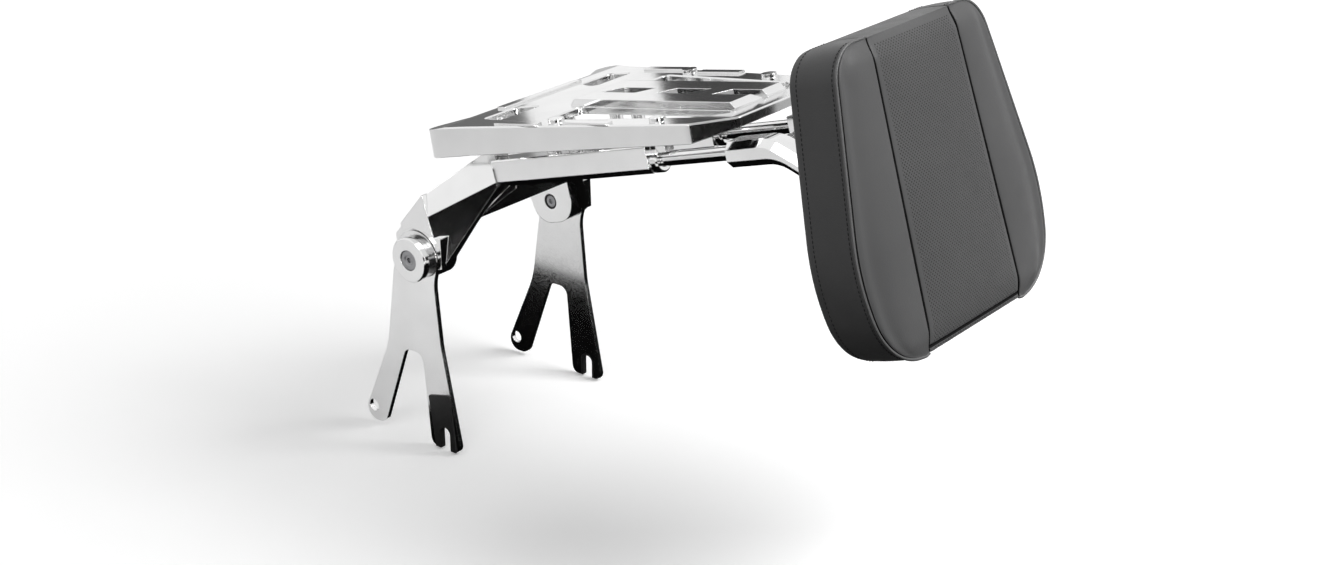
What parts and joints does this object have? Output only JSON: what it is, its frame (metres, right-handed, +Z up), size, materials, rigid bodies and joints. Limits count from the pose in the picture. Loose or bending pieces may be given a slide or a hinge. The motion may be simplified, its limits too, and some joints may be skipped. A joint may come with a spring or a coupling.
{
  "type": "motorcycle backrest",
  "caption": "Folding chromed motorcycle backrest: forked docking plates, cast arms, telescoping rods with latch knobs, a tilting padded cushion and a luggage rack on posts.",
  "frame": {"origin": "midpoint between the two plates on the axis of their rear docking holes", "axes": "+X forward along the motorcycle, +Y to the left along the docking-hole axis, +Z up"},
  "size_m": [0.7919, 0.3476, 0.6091],
  "materials": {
    "plate_chrome": "polished plate",
    "cast_chrome": "chromed casting",
    "rod_chrome": "chromed tube",
    "rack_chrome": "chromed casting",
    "screw_steel": "satin zinc plate",
    "nylon": "matte black nylon",
    "black_steel": "satin black",
    "base_board": "matte moulded",
    "cover": "grained vinyl"
  },
  "bodies": {
    "docking": {"docking_plate_right": "plate_chrome", "docking_plate_left": "plate_chrome", "dock_shoe_right": "nylon", "dock_shoe_left": "nylon", "pivot_cap_right": "cast_chrome", "pivot_cap_left": "cast_chrome", "pivot_screw_right": "screw_steel", "pivot_screw_left": "screw_steel", "pivot_washer_right": "nylon", "pivot_washer_left": "nylon"},
    "bar": {"pivot_bush_right": "nylon", "pivot_bush_left": "nylon", "arm_right": "cast_chrome", "arm_left": "cast_chrome", "cross_panel": "cast_chrome", "housing_right": "cast_chrome", "housing_left": "cast_chrome", "slide_bush_right": "nylon", "slide_bush_left": "nylon", "housing_collar_right": "cast_chrome", "housing_collar_left": "cast_chrome", "rack_frame": "rack_chrome", "rack_posts": "rack_chrome", "rack_strips": "rack_chrome", "rack_bumpers": "rack_chrome"},
    "knob_right": {"latch_knob_right": "cast_chrome"},
    "knob_left": {"latch_knob_left": "cast_chrome"},
    "slider": {"rod_right": "rod_chrome", "rod_left": "rod_chrome", "yoke": "cast_chrome", "tilt_pin": "screw_steel", "rod_grub_screws": "screw_steel"},
    "pad": {"pad_bracket": "black_steel", "pad_base": "base_board", "pad_cushion": "cover", "pad_screws": "screw_steel"}
  },
  "joints": [
    {"name": "fold", "type": "hinge", "parent": "docking", "child": "bar", "pos_m": [0.091, 0, 0.225], "axis": [0, -1, 0], "range_deg": [-20, 55]},
    {"name": "reach", "type": "slide", "parent": "bar", "child": "slider", "axis": [0.9588, 0, 0.284], "range_m": [-0.04, 0.03]},
    {"name": "tilt", "type": "hinge", "parent": "slider", "child": "pad", "pos_m": [0.65192, 0, 0.41577], "axis": [0, 1, 0], "range_deg": [-8, 90]},
    {"name": "latch_right", "type": "slide", "parent": "bar", "child": "knob_right", "axis": [-0.284, 0, 0.9588], "range_m": [0, 0.004], "stiffness_N_per_m": 800},
    {"name": "latch_left", "type": "slide", "parent": "bar", "child": "knob_left", "axis": [-0.284, 0, 0.9588], "range_m": [0, 0.004], "stiffness_N_per_m": 800}
  ]
}
